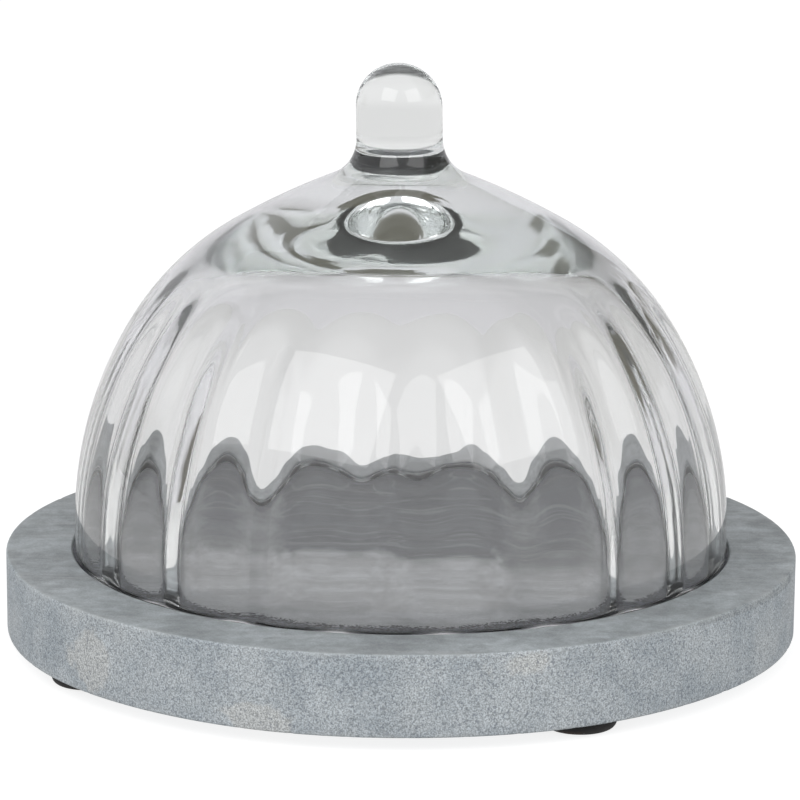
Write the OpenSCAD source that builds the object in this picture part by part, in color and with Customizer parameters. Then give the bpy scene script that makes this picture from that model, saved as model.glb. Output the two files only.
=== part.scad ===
// Glass cloche on a round stone base.
// Origin on the table under the centre of the base, +Z up, the front looks along -Y.

/* [Stone base] */
// Diameter of the stone slab
stone_d = 200; // [190:1:260]
// Thickness of the stone slab
stone_h = 20; // [14:0.5:30]
// Rounding of the slab's upper and lower edges
stone_edge_r = 0.6; // [0.3:0.1:2]
// Depth of the seat turned into the top for the dome's rim
seat_depth = 1.2; // [0.8:0.1:6]
// Gap all round between the dome's rim and the wall of its seat
seat_gap = 0.75; // [0.4:0.05:2]
// Bevel at the mouth of the seat
seat_bevel = 0.3; // [0.1:0.1:0.7]

/* [Feet] */
// Diameter of a rubber foot
foot_d = 18; // [12:0.5:24]
// Thickness of the rubber
foot_h = 3; // [2:0.25:6]
// Rounding of a foot's lower edge
foot_edge_r = 1.8; // [0.4:0.1:2.4]
// Margin of bare stone between a foot and the slab's edge
foot_margin = 2.5; // [1:0.5:12]
// Turn of the front right foot away from the front, in degrees
foot_turn = 28.5; // [0:0.5:60]
// Angle between the front right and the front left foot, in degrees
foot_spread = 87.5; // [60:0.5:120]
// Thickness of the adhesive disc between a foot and the stone
pad_h = 0.5; // [0.2:0.1:1]
// How far the adhesive disc stops short of the foot's edge
pad_inset = 0.5; // [0.2:0.1:2]

/* [Glass dome] */
// Outside diameter of the dome at its rim
dome_d = 165; // [155:0.5:175]
// Thickness of the glass between two flutes
dome_wall = 4.4; // [3.4:0.2:5.4]
// Bevel ground on the outside of the rim
rim_bevel = 0.5; // [0.2:0.1:1]
// Height of the straight skirt above the rim
skirt_h = 7.7; // [5:0.1:14]
// Outside radius of the side arc, which starts upright at the skirt
side_r = 96; // [92:0.5:104]
// Angle through which the side arc turns, in degrees
side_turn = 32; // [29:0.5:35]
// Outside radius of the shoulder arc
shoulder_r = 73; // [68:0.5:78]
// Angle through which the shoulder arc turns, in degrees
shoulder_turn = 28; // [25:0.5:31]
// Outside radius of the flat crown arc
crown_r = 205; // [185:1:230]
// Radius of the hollow's shoulder, which is tighter and leaves the crown thick
hollow_r = 48.5; // [45:0.5:52]
// Angle through which the hollow's shoulder turns, in degrees
hollow_turn = 43; // [39:1:46]
// Radius of the dent at the top of the hollow, under the knob
dent_r = 42; // [36:1:50]
// Height of the dent above the hollow's flat ceiling
dent_rise = 2; // [1:0.25:2.5]

/* [Flutes] */
// Number of flutes round the inside of the dome
flute_count = 20; // [14:1:26]
// Depth of a flute at its middle
flute_depth = 1.5; // [0.8:0.1:1.6]
// Width of plain wall left between two flutes at the rim
flute_land = 1; // [0.6:0.1:4]
// Radius of the arc in which a flute runs out at the shoulder
flute_end_r = 32; // [29:0.5:35]

/* [Knob] */
// Diameter of the knob
knob_d = 21.5; // [16:0.5:28]
// Radius of the flare between crown and knob
flare_r = 10; // [6:0.5:14]
// Height of the knob's upright side, between the flare and the round top
knob_side_h = 8; // [3:0.5:16]
// Height of the part of the flare that belongs to the knob
knob_foot_h = 6; // [3:0.5:8]

/* [Hidden] */

$fn = 96;
stone_colour = "#8c8a87";
glass_colour = "#a9c4bb";
rubber_colour = "#1b1a1a";
adhesive_colour = "#d9d6cd";
glass_alpha = 0.45;

stone_r = stone_d / 2;
foot_r = foot_d / 2;
stone_z = foot_h + pad_h;
stone_top_z = stone_z + stone_h;
rim_z = stone_top_z - seat_depth;

dome_r = dome_d / 2;
inner_r = dome_r - dome_wall;
seat_r = dome_r + seat_gap;
knob_r = knob_d / 2;

// A point at a distance and an angle from a centre
function polar(centre, distance, angle) = centre + distance * [cos(angle), sin(angle)];

// Arcs that flow into each other overlap by this much, so that they cross cleanly
tuck = 0.005;
// Angle by which the narrower arc of such a pair reaches past the crossing
lap = 4;

// The dome's outline is a straight skirt and three arcs: side, shoulder and crown
side_end = side_turn;
shoulder_end = side_turn + shoulder_turn;
side_c = [dome_r - side_r, rim_z + skirt_h];
shoulder_c = polar(side_c, side_r - shoulder_r + tuck, side_end);
crown_c = polar(shoulder_c, shoulder_r - crown_r - tuck, shoulder_end);

// The flare touches the crown arc from outside and the knob's upright side
flare_x = knob_r + flare_r;
flare_reach = crown_r + flare_r - tuck;
flare_c = [flare_x, crown_c.y + sqrt(pow(flare_reach, 2) - pow(flare_x - crown_c.x, 2))];
touch = polar(crown_c, crown_r, atan2(flare_c.y - crown_c.y, flare_c.x - crown_c.x));
weld_z = flare_c.y - knob_foot_h;
knob_c = [0, flare_c.y + knob_side_h];

// The hollow follows the skirt and the side one wall further in, then closes with a tighter
// shoulder, a flat ceiling centred on the axis, and the dent in its middle
hollow_side_r = side_r - dome_wall;
hollow_end = side_end + hollow_turn;
hollow_c = polar(side_c, hollow_side_r - hollow_r + tuck, side_end);
ceiling_r = hollow_r - tuck + hollow_c.x / cos(hollow_end);
ceiling_c = [0, hollow_c.y - hollow_c.x * tan(hollow_end)];
dent_c = [0, ceiling_c.y + ceiling_r + dent_rise - dent_r];

// A flute is one side of a narrower bell that stands off the axis of the dome
flute_pitch = 360 / flute_count;
flute_half_angle = (flute_pitch - flute_land / inner_r * 180 / PI) / 2;
flute_bed_r = inner_r + flute_depth;
flute_axis = (pow(flute_bed_r, 2) - pow(inner_r, 2))
           / (2 * (flute_bed_r - inner_r * cos(flute_half_angle)));
flute_side_r = hollow_side_r + flute_depth;
flute_side_c = side_c - [flute_axis, 0];
flute_end_c = polar(flute_side_c, flute_side_r - flute_end_r + tuck, side_end);

// Side of the square that closes an outline where its sectors come together
core = hollow_r / 2;
section_h = 2 * knob_c.y;
cut = 1;

// Part of a disc between two angles, reaching back to its centre
module sector(centre, radius, from, to) {
    reach = 2 * radius;
    intersection() {
        translate(centre) circle(radius);
        polygon([centre, polar(centre, reach, from), polar(centre, reach, to)]);
    }
}

// Keep the half of a flat shape that a turn about the axis needs
module right_half() {
    intersection() {
        children();
        square([dome_d, section_h]);
    }
}

// Lower half section of a bell, its upright skirt and the side arc above
module lower_bell(skirt_r, foot_z, centre, radius) {
    translate([0, foot_z]) square([skirt_r, centre.y - foot_z]);
    sector(centre, radius, 0, side_end);
}

// Half section of the whole glass, dome and knob, without its hollow
module glass_outline() {
    right_half() {
        lower_bell(dome_r, rim_z, side_c, side_r);
        sector(shoulder_c, shoulder_r, side_end - lap, shoulder_end + lap);
        sector(crown_c, crown_r, shoulder_end, 90);
        translate([0, side_c.y]) square(core);
        sector(knob_c, knob_r, 0, 90);
    }
    difference() {
        polygon([[0, touch.y], touch, flare_c, [0, flare_c.y]]);
        translate(flare_c) circle(flare_r);
    }
    translate([0, flare_c.y]) square([knob_r, knob_side_h]);
}

// Half section of the plain hollow, before the flutes
module hollow_outline() {
    right_half() {
        lower_bell(inner_r, rim_z - cut, side_c, hollow_side_r);
        sector(hollow_c, hollow_r, side_end - lap, hollow_end + lap);
        sector(ceiling_c, ceiling_r, hollow_end, 90);
        sector(dent_c, dent_r, 45, 90);
        translate([0, side_c.y]) square(core);
    }
}

// Half section of the narrower bell that a flute is a side of
module flute_outline() {
    right_half() {
        lower_bell(flute_bed_r - flute_axis, rim_z - cut, flute_side_c, flute_side_r);
        sector(flute_end_c, flute_end_r, side_end - lap, 90);
    }
}

// One flute, clipped to its own share of the circle
module flute() {
    far = 2 * dome_r;
    half = (flute_half_angle + flute_pitch / 2) / 2;
    intersection() {
        translate([flute_axis, 0, 0]) rotate(180) rotate_extrude() flute_outline();
        linear_extrude(section_h)
            polygon([for (a = [-half, half]) polar([0, 0], flute_axis, a),
                     for (a = [half, -half]) polar([0, 0], far, a)]);
    }
}

module glass_dome() {
    color(glass_colour, glass_alpha)
    difference() {
        rotate_extrude() intersection() {
            glass_outline();
            difference() {
                square([dome_d, weld_z]);
                translate([dome_r, rim_z]) rotate(45) square(rim_bevel * sqrt(2), center = true);
            }
        }
        rotate_extrude() hollow_outline();
        for (i = [0 : flute_count - 1]) rotate((i + 0.5) * flute_pitch) flute();
    }
}

module glass_knob() {
    color(glass_colour, glass_alpha)
    rotate_extrude() intersection() {
        glass_outline();
        translate([0, weld_z]) square([dome_r, section_h]);
    }
}

module stone_base() {
    side_h = stone_h - 2 * stone_edge_r;
    rim_r = stone_r - stone_edge_r;
    color(stone_colour)
    difference() {
        translate([0, 0, stone_z]) rotate_extrude() {
            square([rim_r, stone_h]);
            translate([0, stone_edge_r]) square([stone_r, side_h]);
            for (z = [stone_edge_r, stone_h - stone_edge_r])
                translate([rim_r, z]) intersection() {
                    circle(stone_edge_r);
                    translate([0, -stone_edge_r]) square(2 * stone_edge_r);
                }
        }
        translate([0, 0, rim_z]) cylinder(r = seat_r, h = seat_depth + cut);
        translate([0, 0, stone_top_z - seat_bevel])
            cylinder(r1 = seat_r, r2 = seat_r + 2 * seat_bevel, h = 2 * seat_bevel);
    }
}

// Put a foot or its pad in its corner of a rectangle, counted round from the front right
module at_corner(number) {
    turn = foot_turn + 180 * floor(number / 2) + (180 - foot_spread) * (number % 2);
    rotate(turn) translate([0, foot_r + foot_margin - stone_r, 0]) children();
}

module foot(number) {
    color(rubber_colour)
    at_corner(number) rotate_extrude() {
        square([foot_r - foot_edge_r, foot_h]);
        translate([0, foot_edge_r]) square([foot_r, foot_h - foot_edge_r]);
        intersection() {
            translate([foot_r - foot_edge_r, foot_edge_r]) circle(foot_edge_r);
            square([foot_r, foot_edge_r]);
        }
    }
}

module pad(number) {
    color(adhesive_colour)
    at_corner(number) translate([0, 0, foot_h]) cylinder(r = foot_r - pad_inset, h = pad_h);
}

stone_base();
glass_dome();
glass_knob();
foot(0);  // foot_front_right
foot(1);  // foot_rear_right
foot(2);  // foot_rear_left
foot(3);  // foot_front_left
pad(0);  // pad_front_right
pad(1);  // pad_rear_right
pad(2);  // pad_rear_left
pad(3);  // pad_front_left
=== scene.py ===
"""Glass cloche on a round stone base: a fluted dome with a solid knob, standing in a seat
turned into the slab, which rests on four rubber feet. Lengths are in metres."""
import math

import bpy
import numpy as np
from mathutils import Matrix, Vector


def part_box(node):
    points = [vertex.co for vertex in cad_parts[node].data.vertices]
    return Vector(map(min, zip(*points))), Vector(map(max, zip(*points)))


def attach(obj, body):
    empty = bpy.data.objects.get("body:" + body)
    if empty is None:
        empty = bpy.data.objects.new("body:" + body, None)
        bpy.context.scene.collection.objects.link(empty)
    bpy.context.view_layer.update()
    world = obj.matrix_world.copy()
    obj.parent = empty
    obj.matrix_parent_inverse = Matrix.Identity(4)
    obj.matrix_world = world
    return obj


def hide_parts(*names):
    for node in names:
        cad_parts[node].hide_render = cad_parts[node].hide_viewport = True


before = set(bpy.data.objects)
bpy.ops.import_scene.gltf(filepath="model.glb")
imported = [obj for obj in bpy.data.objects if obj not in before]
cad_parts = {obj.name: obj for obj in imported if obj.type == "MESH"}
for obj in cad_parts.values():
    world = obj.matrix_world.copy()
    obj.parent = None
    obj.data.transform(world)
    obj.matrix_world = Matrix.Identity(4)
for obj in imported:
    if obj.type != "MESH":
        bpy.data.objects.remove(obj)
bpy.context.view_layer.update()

# Rubber feet
# Four discs of black moulded rubber under the slab, with a shallow hollow in the lower face
# and sides that the weight of the stone presses out a little. They are stuck on, not screwed.
mm = 0.001
foot_nodes = ["foot_front_right", "foot_rear_right", "foot_rear_left", "foot_front_left"]
foot_inmost_r = 0.3 * mm
foot_hollow = 0.2 * mm
foot_tread, foot_slope = 1.2 * mm, 0.8 * mm
foot_edge = 1.8 * mm
foot_taper, foot_bevel = 0.25 * mm, 0.2 * mm
foot_columns = 96


def line(start, end, steps):
    """Points from start towards end, closer together near both: share = (1 - cos(pi u)) / 2."""
    share = (1 - np.cos(np.pi * np.arange(steps) / steps)) / 2
    return np.outer(1 - share, start) + np.outer(share, end)


def arc(centre, radius, start, end, steps):
    """Points on an arc that runs from the start angle towards the end angle, in degrees."""
    angle = np.radians(np.linspace(start, end, steps, endpoint=False))
    return np.stack([centre[0] + radius * np.cos(angle),
                     centre[1] + radius * np.sin(angle)], axis=1)


def turned_piece(name, radius, height, centre=(0.0, 0.0)):
    """Turn a closed shape about an upright axis.

    radius and height are grids: a row for each step along the profile, a column for each angle.
    Point = centre + radius * (sin angle, -cos angle), with angle 0 at the front. One more point
    on the axis closes each end.
    """
    rows, columns = radius.shape
    angle = np.linspace(0, 2 * np.pi, columns, endpoint=False)
    rings = np.stack([centre[0] + radius * np.sin(angle), centre[1] - radius * np.cos(angle),
                      height], axis=2)
    poles = np.stack([rings[0].mean(axis=0), rings[-1].mean(axis=0)])
    corner = np.arange(rows * columns).reshape(rows, columns)
    beside = np.roll(corner, -1, axis=1)
    bands = np.stack([corner[:-1], beside[:-1], beside[1:], corner[1:]], axis=2).reshape(-1, 4)
    first = np.stack([np.full(columns, rows * columns), beside[0], corner[0]], axis=1)
    last = np.stack([corner[-1], beside[-1], np.full(columns, rows * columns + 1)], axis=1)
    mesh = bpy.data.meshes.new(name)
    mesh.from_pydata(np.concatenate([rings.reshape(-1, 3), poles]).tolist(), [],
                     bands.tolist() + first.tolist() + last.tolist())
    mesh.shade_smooth()
    piece = bpy.data.objects.new(name, mesh)
    bpy.context.scene.collection.objects.link(piece)
    return piece


def shader(tree, kind, inputs=None, **settings):
    """Add one shader node; an input is a plain value, or another node's output to link."""
    node = tree.nodes.new("ShaderNode" + kind)
    for setting, value in settings.items():
        setattr(node, setting, value)
    for socket, value in (inputs or {}).items():
        if isinstance(value, bpy.types.NodeSocket):
            tree.links.new(value, node.inputs[socket])
        else:
            node.inputs[socket].default_value = value
    return node


def mixed(tree, factor, first, second, how="MIX"):
    """The colour that lies between two colours by a factor."""
    return shader(tree, "Mix", {0: factor, 6: first, 7: second},
                  data_type="RGBA", blend_type=how).outputs[2]


def between(tree, value, low, high, to_low=0.0, to_high=1.0):
    """Smooth step of a value from low to high, spread over to_low to to_high."""
    return shader(tree, "MapRange", {"Value": value, "From Min": low, "From Max": high,
                                     "To Min": to_low, "To Max": to_high},
                  interpolation_type="SMOOTHSTEP").outputs["Result"]


def times(tree, first, second):
    """The product of two values."""
    return shader(tree, "Math", {0: first, 1: second}, operation="MULTIPLY").outputs["Value"]


def noise(tree, place, scale, detail, roughness, distortion=0.0):
    """Cloudy noise from 0 to 1, about 1 / scale metres from spot to spot."""
    return shader(tree, "TexNoise", {"Vector": place, "Scale": scale, "Detail": detail,
                                     "Roughness": roughness,
                                     "Distortion": distortion}).outputs["Fac"]


def bump(tree, height, strength, distance):
    """The normal of a surface that a height raises by up to a distance."""
    return shader(tree, "Bump", {"Height": height, "Strength": strength,
                                 "Distance": distance}).outputs["Normal"]


def finish(name):
    """A new material: its node tree, its Principled shader and the piece's own coordinates."""
    material = bpy.data.materials.new(name)
    material.use_nodes = True
    tree = material.node_tree
    return material, tree, tree.nodes["Principled BSDF"], shader(tree, "TexCoord").outputs["Object"]


rubber, tree, skin, place = finish("black_rubber")
# A warm brown sheen along the lower edge, mottled by the smears, is a painted highlight
rubber_black, warm_sheen_brown = (0.008, 0.007, 0.007, 1), (0.075, 0.050, 0.036, 1)
pores = noise(tree, place, 1800, 3, 0.5)
smears = noise(tree, place, 160, 4, 0.6)
level = shader(tree, "SeparateXYZ", {"Vector": place}).outputs["Z"]
near_table = between(tree, level, 0.2 * mm, 1.6 * mm, 1.0, 0.0)
painted_sheen = times(tree, near_table, between(tree, smears, 0.4, 0.7))
tree.links.new(mixed(tree, painted_sheen, rubber_black, warm_sheen_brown), skin.inputs["Base Color"])
tree.links.new(between(tree, smears, 0.3, 0.7, 0.60, 0.80), skin.inputs["Roughness"])
tree.links.new(bump(tree, pores, 0.35, 0.1 * mm), skin.inputs["Normal"])

for foot_node in foot_nodes:
    low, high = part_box(foot_node)
    centre = ((low.x + high.x) / 2, (low.y + high.y) / 2)
    foot_r = (high.x - low.x) / 2
    face_r = foot_r - foot_edge
    hollow_edge = (face_r - foot_tread - foot_slope, low.z + foot_hollow)
    tread_edge = (face_r - foot_tread, low.z)
    side_top = (foot_r - foot_taper, high.z - foot_bevel)
    top_edge = (foot_r - 2 * foot_taper, high.z)
    foot_profile = np.concatenate([
        line((foot_inmost_r, low.z + foot_hollow), hollow_edge, 6),
        line(hollow_edge, tread_edge, 4),
        line(tread_edge, (face_r, low.z), 4),
        arc((face_r, low.z + foot_edge), foot_edge, -90, 0, 8),
        line((foot_r, low.z + foot_edge), side_top, 8),
        line(side_top, top_edge, 3),
        line(top_edge, (foot_inmost_r, high.z), 6)])
    turned = np.repeat(foot_profile[:, :, None], foot_columns, axis=2)
    foot = turned_piece("rubber_" + foot_node, turned[:, 0], turned[:, 1], centre)
    foot.data.materials.append(rubber)
    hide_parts(foot_node)
    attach(foot, "base")

# Adhesive discs
# A thin disc of double-sided foam tape between each foot and the stone, cut a little smaller
# than the foot. The solids of the frame are right for them, so they only get their finish.
foam, tree, skin, place = finish("adhesive_foam")
foam_pale, foam_stained = (0.62, 0.60, 0.55, 1), (0.42, 0.39, 0.34, 1)
cells = shader(tree, "TexVoronoi", {"Vector": place, "Scale": 3200.0}).outputs["Distance"]
stains = noise(tree, place, 220, 3, 0.5)
tree.links.new(mixed(tree, between(tree, stains, 0.35, 0.7), foam_pale, foam_stained),
               skin.inputs["Base Color"])
tree.links.new(between(tree, stains, 0.3, 0.7, 0.75, 0.9), skin.inputs["Roughness"])
tree.links.new(bump(tree, cells, 0.5, 0.1 * mm), skin.inputs["Normal"])
for pad_node in ["pad_front_right", "pad_rear_right", "pad_rear_left", "pad_front_left"]:
    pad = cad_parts[pad_node]
    pad.data.materials.clear()
    pad.data.materials.append(foam)

# Stone base
# A round slab of grey stone, cut from 20 mm sheet. The sides are left as sawn, speckled and
# rather pale, the top is honed smooth and darker, and a seat for the dome is turned into it.
slab_low, slab_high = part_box("stone_base")
slab_r, slab_bottom, slab_top = slab_high.x, slab_low.z, slab_high.z
slab_inmost_r = 1 * mm
slab_edge = 0.6 * mm
seat_r = 83.25 * mm
seat_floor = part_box("glass_dome")[0].z
seat_bevel, seat_corner = 0.3 * mm, 0.3 * mm
chip_reach, upper_chip, lower_chip = 1.1 * mm, 0.12 * mm, 0.05 * mm
sway_depth, sway_gap, sway_rise = 0.10 * mm, 4 * mm, slab_r - seat_r - 5 * mm
sawn_gap, sawn_fade, seat_fade = 0.5 * mm, 0.4 * mm, 0.3 * mm
slab_columns = 1200


def uneven(angle, low, high, seed):
    """A closed random line round the axis: the sum of cosines of every order from low to high
    with random phases, scaled to a spread of one."""
    chance = np.random.default_rng(seed)
    orders = np.arange(low, high + 1)[:, None]
    phases = chance.uniform(0, 2 * np.pi, orders.shape)
    sizes = chance.uniform(0.4, 1.0, orders.shape)
    waves = (sizes * np.cos(orders * angle.ravel() + phases)).sum(axis=0)
    return (waves / waves.std()).reshape(angle.shape)


def paint(piece, attribute, values):
    """Keep a grid of values on a turned piece; the points on the axis take those of their ring."""
    whole = np.append(values.ravel(), values[[0, -1], 0]).astype(np.float32)
    piece.data.attributes.new(attribute, "FLOAT", "POINT").data.foreach_set("value", whole)


def painted(tree, attribute):
    """The value that paint keeps."""
    return shader(tree, "Attribute", attribute_name=attribute).outputs["Fac"]


def plus(tree, first, second):
    """The sum of two values."""
    return shader(tree, "Math", {0: first, 1: second}, operation="ADD").outputs["Value"]


def size_of(tree, value):
    """A value without its sign."""
    return shader(tree, "Math", {0: value}, operation="ABSOLUTE").outputs["Value"]


def length_of(tree, vector):
    """The length of a vector."""
    return shader(tree, "VectorMath", {0: vector}, operation="LENGTH").outputs["Value"]


def blend(tree, factor, first, second):
    """The value that lies between two values by a factor."""
    return shader(tree, "Mix", {0: factor, 2: first, 3: second}).outputs[0]


slab_profile = np.concatenate([
    line((slab_inmost_r, slab_bottom), (slab_r - slab_edge, slab_bottom), 8),
    arc((slab_r - slab_edge, slab_bottom + slab_edge), slab_edge, -90, 0, 7),
    line((slab_r, slab_bottom + slab_edge), (slab_r, slab_top - slab_edge), 16),
    arc((slab_r - slab_edge, slab_top - slab_edge), slab_edge, 0, 90, 9),
    line((slab_r - slab_edge, slab_top), (seat_r + seat_bevel, slab_top), 12),
    line((seat_r + seat_bevel, slab_top), (seat_r, slab_top - seat_bevel), 4),
    line((seat_r, slab_top - seat_bevel), (seat_r, seat_floor + seat_corner), 6),
    arc((seat_r - seat_corner, seat_floor + seat_corner), seat_corner, 0, -90, 4),
    line((seat_r - seat_corner, seat_floor), (slab_inmost_r, seat_floor), 14)])

# Small chips along both edges, and a slight sway of the outer wall
slab_angle = np.linspace(0, 2 * np.pi, slab_columns, endpoint=False)[None, :]
radius = np.repeat(slab_profile[:, :1], slab_columns, axis=1)
height = np.repeat(slab_profile[:, 1:], slab_columns, axis=1)
towards_edge = np.clip((radius - seat_r - sway_gap) / sway_rise, 0, 1)
upper_edge = np.exp(-((radius - slab_r) ** 2 + (height - slab_top) ** 2) / chip_reach ** 2)
lower_edge = np.exp(-((radius - slab_r) ** 2 + (height - slab_bottom) ** 2) / chip_reach ** 2)
upper_chips = upper_chip * np.clip(uneven(slab_angle, 20, 260, 3) - 1.0, 0, None) * upper_edge
lower_chips = lower_chip * np.clip(uneven(slab_angle, 20, 200, 5) - 1.0, 0, None) * lower_edge
sway = sway_depth * uneven(slab_angle, 2, 9, 8) * towards_edge
slab = turned_piece("stone_slab", radius + sway - upper_chips - lower_chips,
                    height - upper_chips + lower_chips)

# Where the slab is sawn, where it lies in the seat and where its edges are rubbed pale
underneath = height < slab_bottom + slab_edge
as_sawn = np.maximum(np.clip((radius - slab_r + sawn_gap) / sawn_fade, 0, 1), underneath)
within_seat = np.clip((seat_r - radius) / seat_fade, 0, 1) * ~underneath
rubbed = (upper_edge + lower_edge) * np.clip(0.5 + 0.5 * uneven(slab_angle, 3, 60, 11), 0, 1)
paint(slab, "sawn", as_sawn)
paint(slab, "seat", within_seat)
paint(slab, "worn", rubbed)

stone, tree, skin, place = finish("grey_stone")
sawn, seat, worn = painted(tree, "sawn"), painted(tree, "seat"), painted(tree, "worn")
spot = shader(tree, "SeparateXYZ", {"Vector": place}).outputs
bedding = shader(tree, "Mapping", {"Vector": place, "Rotation": (0.05, -0.04, 0.06),
                                   "Scale": (0.12, 1.0, 0.7)}).outputs["Vector"]
grain = noise(tree, place, 2700, 2, 0.6)
specks = noise(tree, place, 1500, 1, 0.5)
clouds = noise(tree, place, 60, 6, 0.62)
drifts = noise(tree, place, 24, 4, 0.55, 0.4)
mottle = noise(tree, place, 240, 4, 0.6, 0.3)
streaks = noise(tree, bedding, 150, 7, 0.72, 0.3)

# The sawn side: blue grey and cloudy, with a few patches of lime, each given by its middle and
# its reach in mm, and small dark and pale specks
side_dark, side_pale = (0.350, 0.391, 0.424, 1), (0.472, 0.509, 0.534, 1)
drift_pale, lime = (0.500, 0.520, 0.525, 1), (0.580, 0.585, 0.570, 1)
speck_dark, speck_pale = (0.175, 0.195, 0.235, 1), (0.600, 0.625, 0.650, 1)
lime_patches = [((29, -95, 20), (9, 14, 5)), ((-34, -94, 7), (10, 14, 4)),
                ((-72, -69, 13), (9, 12, 7)), ((60, 80, 9), (16, 14, 5)),
                ((-50, 86, 18), (12, 14, 5))]
side = mixed(tree, between(tree, clouds, 0.34, 0.66), side_dark, side_pale)
side = mixed(tree, between(tree, drifts, 0.52, 0.68, 0.0, 0.40), side, drift_pale)
for middle, reach in lime_patches:
    offset = shader(tree, "VectorMath", {0: place, 1: Vector(middle) * mm},
                    operation="SUBTRACT").outputs["Vector"]
    offset = shader(tree, "VectorMath", {0: offset, 1: Vector(reach) * mm},
                    operation="DIVIDE").outputs["Vector"]
    ragged = plus(tree, length_of(tree, offset), between(tree, clouds, 0.3, 0.7, -0.5, 0.5))
    side = mixed(tree, between(tree, ragged, 0.75, 1.05, 0.62, 0.0), side, lime)
dark_specks = times(tree, between(tree, specks, 0.58, 0.68, 0.0, 0.55), sawn)
pale_specks = times(tree, between(tree, specks, 0.33, 0.42, 0.35, 0.0), sawn)

# The honed top: darker, cloudy and streaked along its bedding, and lighter towards the back by
# painted light. In the seat the stone is pale in front, with a painted shadow of the crown behind
# the middle and painted shade towards the wall, and the ring under the rim is darkened and speckled
# as a painted contact shadow of the glass rim, stronger in front
seat_pale, seat_shadow_dark = (0.480, 0.496, 0.512, 1), (0.136, 0.147, 0.157, 1)
seat_wall_shade = (0.16, 0.17, 0.18, 1)
top_front, top_back_painted_light = (0.318, 0.347, 0.362, 1), (0.355, 0.378, 0.390, 1)
vein_pale, rim_shadow_dark = (0.48, 0.50, 0.51, 1), (0.072, 0.077, 0.092, 1)
# Painted shadow of the crown and knob: the seat darkens behind the middle
wavy_y = plus(tree, spot["Y"], between(tree, drifts, 0.3, 0.7, -12 * mm, 12 * mm))
off_middle = size_of(tree, spot["X"])
crown_shadow = times(tree, between(tree, wavy_y, -22 * mm, -2 * mm),
                  between(tree, off_middle, 26 * mm, 54 * mm, 1.0, 0.5))
seat_colour = mixed(tree, crown_shadow, seat_pale, seat_shadow_dark)
flat = shader(tree, "VectorMath", {0: place, 1: (1, 1, 0)},
              operation="MULTIPLY").outputs["Vector"]
from_axis = length_of(tree, flat)
# Painted shade: the seat darkens towards its wall
shade_near_wall = between(tree, from_axis, 58 * mm, 74 * mm, 0.0, 0.22)
seat_colour = mixed(tree, shade_near_wall, seat_colour, seat_wall_shade)
# Painted light: the honed top is lighter towards the back
top_colour = mixed(tree, between(tree, spot["Y"], 10 * mm, 80 * mm), top_front, top_back_painted_light)
honed = mixed(tree, seat, top_colour, seat_colour)
for pattern, dark_at, pale_at, on_top, in_seat in [(clouds, 0.34, 0.66, 0.16, 0.15),
                                                   (mottle, 0.32, 0.68, 0.10, 0.05),
                                                   (streaks, 0.38, 0.62, 0.11, 0.10)]:
    honed = mixed(tree, between(tree, seat, 0.0, 1.0, on_top, in_seat), honed,
                  between(tree, pattern, dark_at, pale_at, 0.0, 2.0), "MULTIPLY")
off_vein = size_of(tree, plus(tree, noise(tree, bedding, 70, 3, 0.5, 0.6), -0.5))
honed = mixed(tree, between(tree, off_vein, 0.004, 0.016, 0.22, 0.0), honed, vein_pale)
# Painted contact shadow: a dark speckled ring under the glass rim, stronger in front
ragged_r = plus(tree, from_axis, between(tree, specks, 0.35, 0.65, -1.2 * mm, 1.2 * mm))
rim_shadow_ring = times(tree, between(tree, ragged_r, 71.5 * mm, 72.5 * mm), seat)
rim_shadow_ring = times(tree, rim_shadow_ring, between(tree, spot["Y"], -10 * mm, 30 * mm, 1.0, 0.40))
rim_shadow_specks = between(tree, specks, 0.36, 0.64, 2.0, 0.0)
rim_shadow_colour = mixed(tree, 0.85, rim_shadow_dark, rim_shadow_specks, "MULTIPLY")
honed = mixed(tree, rim_shadow_ring, honed, rim_shadow_colour)

# A strip of the honed finish runs down over the edge on the right, where it is over 2 mm wide
worn_pale = (0.50, 0.52, 0.52, 1)
strip_drop = between(tree, spot["X"], 45 * mm, 99 * mm, 0.0, 2.4 * mm)
strip_level = plus(tree, spot["Z"], strip_drop)
strip = between(tree, strip_level, slab_top - 0.15 * mm, slab_top + 0.15 * mm)
bare = times(tree, sawn, between(tree, strip, 0.0, 1.0, 1.0, 0.25))
stone_colour = mixed(tree, bare, honed, side)
stone_colour = mixed(tree, between(tree, sawn, 0.0, 1.0, 0.14, 0.42), stone_colour,
                     between(tree, grain, 0.30, 0.70, 0.0, 2.0), "MULTIPLY")
stone_colour = mixed(tree, dark_specks, stone_colour, speck_dark)
stone_colour = mixed(tree, pale_specks, stone_colour, speck_pale)
stone_colour = mixed(tree, times(tree, worn, 0.35), stone_colour, worn_pale)
tree.links.new(stone_colour, skin.inputs["Base Color"])
rough_top = between(tree, streaks, 0.3, 0.7, 0.42, 0.58)
tree.links.new(blend(tree, sawn, rough_top, 0.78), skin.inputs["Roughness"])
grit = bump(tree, grain, between(tree, sawn, 0.0, 1.0, 0.05, 0.3), 0.2 * mm)
tree.links.new(grit, skin.inputs["Normal"])
slab.data.materials.append(stone)
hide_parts("stone_base")
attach(slab, "base")

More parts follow.
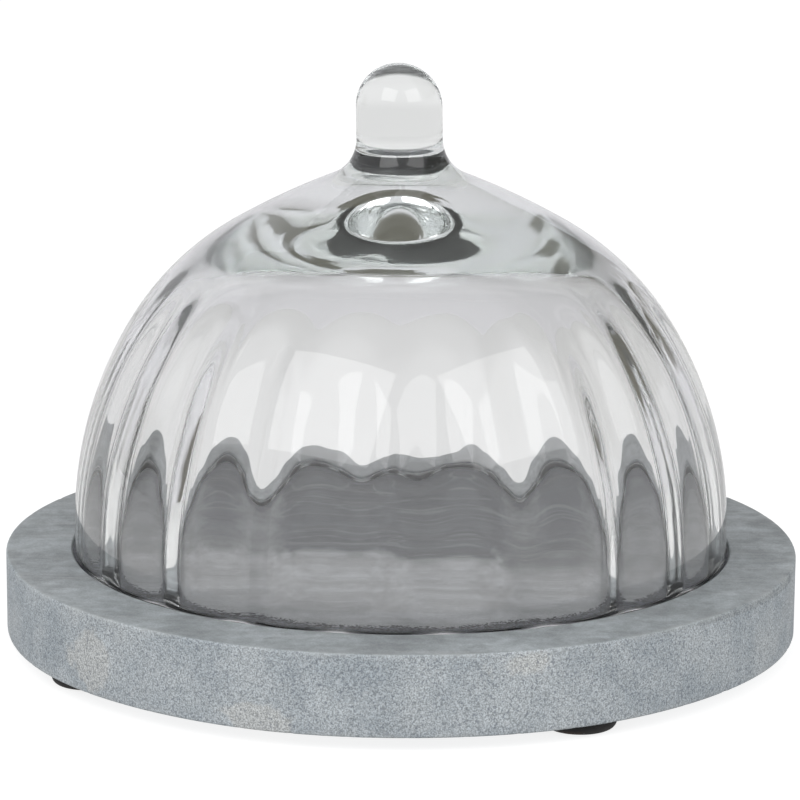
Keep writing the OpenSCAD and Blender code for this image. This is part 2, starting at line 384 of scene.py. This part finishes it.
# Glass dome and knob
# Clear blown glass, smooth outside, with soft flutes inside that fade out at the shoulder, and
# cut off square at the rim. The solid knob is fused to the thick crown, which has a shallow
# dent inside below it.
dome_low, dome_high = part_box("glass_dome")
knob_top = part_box("glass_knob")[1].z
rim_z, dome_r = dome_low.z, dome_high.x
wall = 4.4 * mm
rim_bevel, rim_corner = 0.5 * mm, 0.3 * mm
skirt_h = 7.7 * mm
side_r, side_end = 96 * mm, 32.0
shoulder_r, shoulder_end = 73 * mm, 60.0
crown_r = 205 * mm
knob_r, flare_r, knob_side = 10.75 * mm, 10 * mm, 8 * mm
knob_lean = -1.35 * mm
hollow_r, hollow_end = 48.5 * mm, 75.0
ceiling_start, knob_end = 89.8, 89.0
dent_rise, dent_r = 2.2 * mm, 14 * mm
flute_count, flute_depth, flute_variety = 20, 2.2 * mm, 0.05
flute_turn = math.radians(-1.75)
flute_full_z, flute_none_z = 68.5 * mm, 95.5 * mm
crowd_turn, crowd_at, crowd_spread = math.radians(3.0), math.radians(66), math.radians(15)
ripple_depth, ripple_count = 0.022 * mm, 30
ripple_shortest, ripple_longest = 7 * mm, 16 * mm
glass_columns = 440


def polar(centre, distance, angle):
    """The point at a distance and an angle, in degrees, from a centre."""
    turn = math.radians(angle)
    return np.array(centre) + distance * np.array([math.cos(turn), math.sin(turn)])


def ripples(radius, angle, height, seed):
    """Random waves through space: the sum of cosines of distance along random directions, with
    random wavelengths and phases, scaled to a spread of one."""
    chance = np.random.default_rng(seed)
    points = np.stack([radius * np.sin(angle), -radius * np.cos(angle), height], axis=2)
    total = np.zeros(radius.shape)
    for _ in range(ripple_count):
        direction = chance.normal(size=3)
        direction /= np.linalg.norm(direction)
        wavelength = chance.uniform(ripple_shortest, ripple_longest)
        phase = chance.uniform(0, 2 * np.pi)
        total += np.cos(2 * np.pi * (points @ direction) / wavelength + phase)
    return total / total.std()


# The outline: arcs that run into each other, each with its centre found from the arc before
side_c = np.array([dome_r - side_r, rim_z + skirt_h])
shoulder_c = polar(side_c, side_r - shoulder_r, side_end)
crown_c = polar(shoulder_c, shoulder_r - crown_r, shoulder_end)
flare_x = knob_r + flare_r
flare_rise = math.sqrt((crown_r + flare_r) ** 2 - (flare_x - crown_c[0]) ** 2)
flare_c = np.array([flare_x, crown_c[1] + flare_rise])
crown_end = math.degrees(math.atan2(flare_c[1] - crown_c[1], flare_c[0] - crown_c[0]))
knob_c = np.array([0, flare_c[1] + knob_side])
inner_r = dome_r - wall
hollow_c = polar(side_c, side_r - wall - hollow_r, side_end)
ceiling_edge = polar(hollow_c, hollow_r, hollow_end)
ceiling_r = ceiling_edge[0] / math.cos(math.radians(hollow_end))
ceiling_c = (0, ceiling_edge[1] - ceiling_r * math.sin(math.radians(hollow_end)))
ceiling = arc(ceiling_c, ceiling_r, ceiling_start, hollow_end, 36)
ceiling[:, 1] += dent_rise * np.exp(-(ceiling[:, 0] / dent_r) ** 2)
inside = np.concatenate([
    ceiling,
    arc(hollow_c, hollow_r, hollow_end, side_end, 28),
    arc(side_c, side_r - wall, side_end, 0, 32),
    line((inner_r, side_c[1]), (inner_r, rim_z + rim_corner), 8)])
rim = np.concatenate([
    line((inner_r + rim_corner, rim_z), (dome_r - rim_bevel, rim_z), 4),
    line((dome_r - rim_bevel, rim_z), (dome_r, rim_z + rim_bevel), 3)])
outside = np.concatenate([
    line((dome_r, rim_z + rim_bevel), (dome_r, side_c[1]), 8),
    arc(side_c, side_r, 0, side_end, 26),
    arc(shoulder_c, shoulder_r, side_end, shoulder_end, 22),
    arc(crown_c, crown_r, shoulder_end, crown_end, 16),
    arc(flare_c, flare_r, crown_end + 180, 180, 14),
    line((knob_r, flare_c[1]), (knob_r, knob_c[1]), 6),
    arc(knob_c, knob_r, 0, knob_end, 18)])
glass_profile = np.concatenate([inside, rim, outside])

# Flutes: a cosine wave round the inside, a little uneven in depth, with some flutes on the
# right pushed round by up to three degrees
glass_angle = np.linspace(0, 2 * np.pi, glass_columns, endpoint=False)[None, :]
radius = np.repeat(glass_profile[:, :1], glass_columns, axis=1)
height = np.repeat(glass_profile[:, 1:], glass_columns, axis=1)
crowded = crowd_turn * np.exp(-((glass_angle - crowd_at) / crowd_spread) ** 2)
flutes = flute_depth * (1 + np.cos(flute_count * (glass_angle - flute_turn + crowded))) / 2
flutes = flutes * (1 + flute_variety * uneven(glass_angle, 2, 7, 22))
rippled = ripple_depth * ripples(radius, glass_angle, height, 5)[:len(inside)]
fading = np.clip((flute_none_z - inside[:, 1:]) / (flute_none_z - flute_full_z), 0, 1)
radius[:len(inside)] += (flutes + rippled) * fading ** 2 * (3 - 2 * fading)
dome = turned_piece("glass_dome_and_knob", radius, height)

# The lean: points move sideways with the square of their height above the rim
points = np.empty(len(dome.data.vertices) * 3, np.float32)
dome.data.vertices.foreach_get("co", points)
points = points.reshape(-1, 3)
points[:, 0] += knob_lean * ((points[:, 2] - rim_z) / (knob_top - rim_z)) ** 2
dome.data.vertices.foreach_set("co", points.ravel())

# The rim is ground, from the last ring of the inside to the first ring of the outside
steps = np.arange(len(glass_profile))
ground_steps = (steps >= len(inside) - 1) & (steps <= len(inside) + len(rim))
paint(dome, "ground", np.repeat(ground_steps[:, None], glass_columns, axis=1))

ground_roughness = 0.42
glass, tree, skin, _ = finish("clear_glass")
skin.inputs["Base Color"].default_value = (1, 1, 1, 1)
tree.links.new(times(tree, painted(tree, "ground"), ground_roughness), skin.inputs["Roughness"])
skin.inputs["IOR"].default_value = 1.5
skin.inputs["Transmission Weight"].default_value = 0.975
tint = shader(tree, "VolumeAbsorption", {"Color": (0.50, 0.78, 0.70, 1), "Density": 2.0})
tree.links.new(tint.outputs["Volume"], tree.nodes["Material Output"].inputs["Volume"])
dome.data.materials.append(glass)
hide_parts("glass_dome", "glass_knob")
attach(dome, "dome")

# Floor and surroundings
# A plain pale table top, white to the camera, which keeps the shadow of the object, under a
# pale room. Glass sees the table and the room a little darker than the white of the picture.
table_reach = 3.0
table_grey, white = (0.34, 0.34, 0.34, 1), (1, 1, 1, 1)
light_on_object, light_to_camera = 0.25, 0.82


def ray_kinds(tree):
    """Two values that are 1 for rays from glass or a gloss, and for rays from the camera."""
    ray = shader(tree, "LightPath").outputs
    from_glass = shader(tree, "Math", {0: ray["Is Glossy Ray"], 1: ray["Is Transmission Ray"]},
                        operation="MAXIMUM").outputs["Value"]
    return from_glass, ray["Is Camera Ray"]


table_mesh = bpy.data.meshes.new("table_top")
table_mesh.from_pydata([(-table_reach, -table_reach, 0), (table_reach, -table_reach, 0),
                        (table_reach, table_reach, 0), (-table_reach, table_reach, 0)],
                       [], [(0, 1, 2, 3)])
floor = bpy.data.objects.new("table_top", table_mesh)
bpy.context.scene.collection.objects.link(floor)
table, tree, skin, place = finish("pale_table")
skin.inputs["Base Color"].default_value = table_grey
skin.inputs["Roughness"].default_value = 0.9
skin.inputs["Specular IOR Level"].default_value = 0.0
from_glass, from_camera = ray_kinds(tree)
light_in_glass = between(tree, length_of(tree, place), 0.40, 0.70, 0.55, 0.49)
own_light = blend(tree, from_glass, light_on_object, light_in_glass)
own_light = blend(tree, from_camera, own_light, light_to_camera)
skin.inputs["Emission Color"].default_value = white
tree.links.new(own_light, skin.inputs["Emission Strength"])
table_mesh.materials.append(table)

# The room: white to the camera and soft on the object, lighter from the left. Glass sees pale
# walls, with a dim ceiling at the back above a ragged backdrop, which is lower on the right,
# where the dim part also comes further forward, and one low dim patch on the left
wall_pale, wall_dim = (0.735, 0.731, 0.755, 1), (0.115, 0.110, 0.086, 1)
soft_left, soft_right = (0.74, 0.74, 0.74, 1), (0.54, 0.54, 0.54, 1)
room = bpy.data.worlds.new("pale_room")
bpy.context.scene.world = room
room.use_nodes = True
tree = room.node_tree
from_glass, from_camera = ray_kinds(tree)
heading = shader(tree, "TexCoord").outputs["Generated"]
way = shader(tree, "SeparateXYZ", {"Vector": heading}).outputs
tall_folds = shader(tree, "Mapping", {"Vector": heading,
                                      "Scale": (1.0, 1.0, 0.45)}).outputs["Vector"]
folds = noise(tree, tall_folds, 6, 4, 0.6, 0.5)
backdrop_top = between(tree, way["X"], -0.30, 0.45, -0.60, -0.14)
above_backdrop = plus(tree, plus(tree, way["Z"], backdrop_top),
                      between(tree, folds, 0.3, 0.7, -0.10, 0.10))
behind = plus(tree, way["Y"], between(tree, way["X"], 0.2, 0.8, 0.0, 0.42))
dim_ceiling = times(tree, between(tree, above_backdrop, 0.0, 0.10),
                    between(tree, behind, 0.12, 0.32))
dim_patch = times(tree, between(tree, way["Y"], 0.13, 0.22),
                  between(tree, way["Y"], 0.42, 0.52, 1.0, 0.0))
dim_patch = times(tree, dim_patch, between(tree, way["X"], -0.4, -0.2, 1.0, 0.0))
dim_patch = times(tree, dim_patch, between(tree, way["Z"], 0.20, 0.28, 1.0, 0.0))
room_walls = mixed(tree, plus(tree, dim_ceiling, dim_patch), wall_pale, wall_dim)
soft_light = mixed(tree, between(tree, way["X"], -0.8, 0.8), soft_left, soft_right)
room_light = mixed(tree, from_glass, soft_light, room_walls)
room_light = mixed(tree, from_camera, room_light, white)
tree.links.new(room_light, tree.nodes["Background"].inputs["Color"])

# Lamps
# Two large softboxes in front, to the left and the right, above the camera. Their reflections
# are the pale windows on the front of the dome.
lamp_distance = 1.0
lamp_target = Vector((0, 0, 0.07))
for name, azimuth, elevation, width, tall, watts in [("left_softbox", -31, 39, 0.66, 0.56, 2.65),
                                                     ("right_softbox", 45, 37, 0.64, 0.56, 2.2)]:
    bearing, rise = math.radians(azimuth), math.radians(elevation)
    towards = Vector((math.sin(bearing) * math.cos(rise), -math.cos(bearing) * math.cos(rise),
                      math.sin(rise)))
    light = bpy.data.lights.new(name, "AREA")
    light.shape, light.size, light.size_y, light.energy = "RECTANGLE", width, tall, watts
    lamp = bpy.data.objects.new(name, light)
    facing = towards.to_track_quat("Z", "Y").to_matrix().to_4x4()
    lamp.matrix_world = Matrix.Translation(lamp_target + towards * lamp_distance) @ facing
    lamp.visible_camera = False
    bpy.context.scene.collection.objects.link(lamp)

# Camera
# A long lens in front, 15 degrees above the slab's top, which looks at the middle of the dome
# and is rolled by under half a degree, as in the photograph.
eye_distance, eye_rise = 0.950, math.radians(15.008)
eye_roll = math.radians(0.381)
aim = Vector((-0.43 * mm, 0, slab_top + 36.99 * mm))
eye = Vector((0, -math.cos(eye_rise) * eye_distance, slab_top + math.sin(eye_rise) * eye_distance))
view = bpy.data.cameras.new("camera")
view.sensor_width, view.lens = 36, 167.93
view.clip_start, view.clip_end = 0.01, 50
camera = bpy.data.objects.new("camera", view)
back = (eye - aim).normalized()
right = Vector((0, 0, 1)).cross(back).normalized()
turn = Matrix((right, back.cross(right), back)).transposed().to_4x4()
camera.matrix_world = Matrix.Translation(eye) @ turn @ Matrix.Rotation(eye_roll, 4, "Z")
bpy.context.scene.collection.objects.link(camera)
bpy.context.scene.camera = camera

# Picture
# Plain colours, and enough bounces for light to find its way through thick glass.
scene = bpy.context.scene
scene.view_settings.view_transform = "Standard"
scene.cycles.max_bounces = scene.cycles.glossy_bounces = scene.cycles.transmission_bounces = 24
